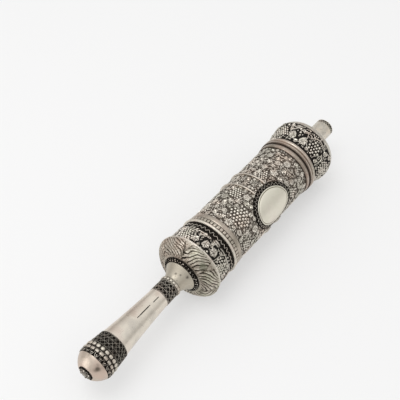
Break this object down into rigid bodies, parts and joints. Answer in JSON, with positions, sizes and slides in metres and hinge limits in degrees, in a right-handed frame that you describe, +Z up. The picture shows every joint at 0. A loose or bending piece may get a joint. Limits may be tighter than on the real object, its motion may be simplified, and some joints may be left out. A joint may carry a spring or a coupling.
{
  "type": "megillah case",
  "caption": "Silver scroll case with a handle: round tube, lift-off lid with a stub finial, lobed bulb base, blank oval plate, grapevine relief and dark filigree bands.",
  "frame": {"origin": "middle of the bounding box's underside, on the surface that the case lies on", "axes": "+X along the case's axis from the handle's tip to the lid's finial, +Z up, the oval plate faces -Y and up"},
  "size_m": [0.315, 0.0564, 0.0562],
  "materials": {
    "polished_silver": "polished silver, worn, with faint smudges",
    "satin_silver": "satin silver, lightly tarnished in the hollows",
    "oxidised_silver": "silver relief, bright on top and blackened in the ground",
    "dark_filigree": "silver wire on a blackened ground"
  },
  "bodies": {
    "root": {"pommel_rosette": "dark_filigree", "pommel_dome": "polished_silver", "pommel_rope_band": "dark_filigree", "pommel_bead_ring_1": "satin_silver", "pommel_bead_ring_2": "satin_silver", "handle_wide_band": "dark_filigree", "handle_tube": "polished_silver", "handle_narrow_band": "dark_filigree", "neck_bead_ring": "satin_silver", "flare": "polished_silver", "flare_rope_ring": "dark_filigree", "base_bulb": "oxidised_silver", "base_wire_ring": "satin_silver", "base_drum": "oxidised_silver", "base_zigzag_band": "dark_filigree", "base_rim_ring": "satin_silver", "base_collar": "satin_silver", "case_tube": "oxidised_silver", "tube_ring_lower": "satin_silver", "tube_ring_upper": "satin_silver", "mouth_moulding": "polished_silver", "cartouche_frame": "dark_filigree", "cartouche_plate": "polished_silver", "lid_flange": "polished_silver", "lid_bulge": "oxidised_silver", "lid_rim_ring": "satin_silver", "lid_dome": "polished_silver", "finial": "polished_silver", "finial_band": "dark_filigree"}
  },
  "joints": []
}
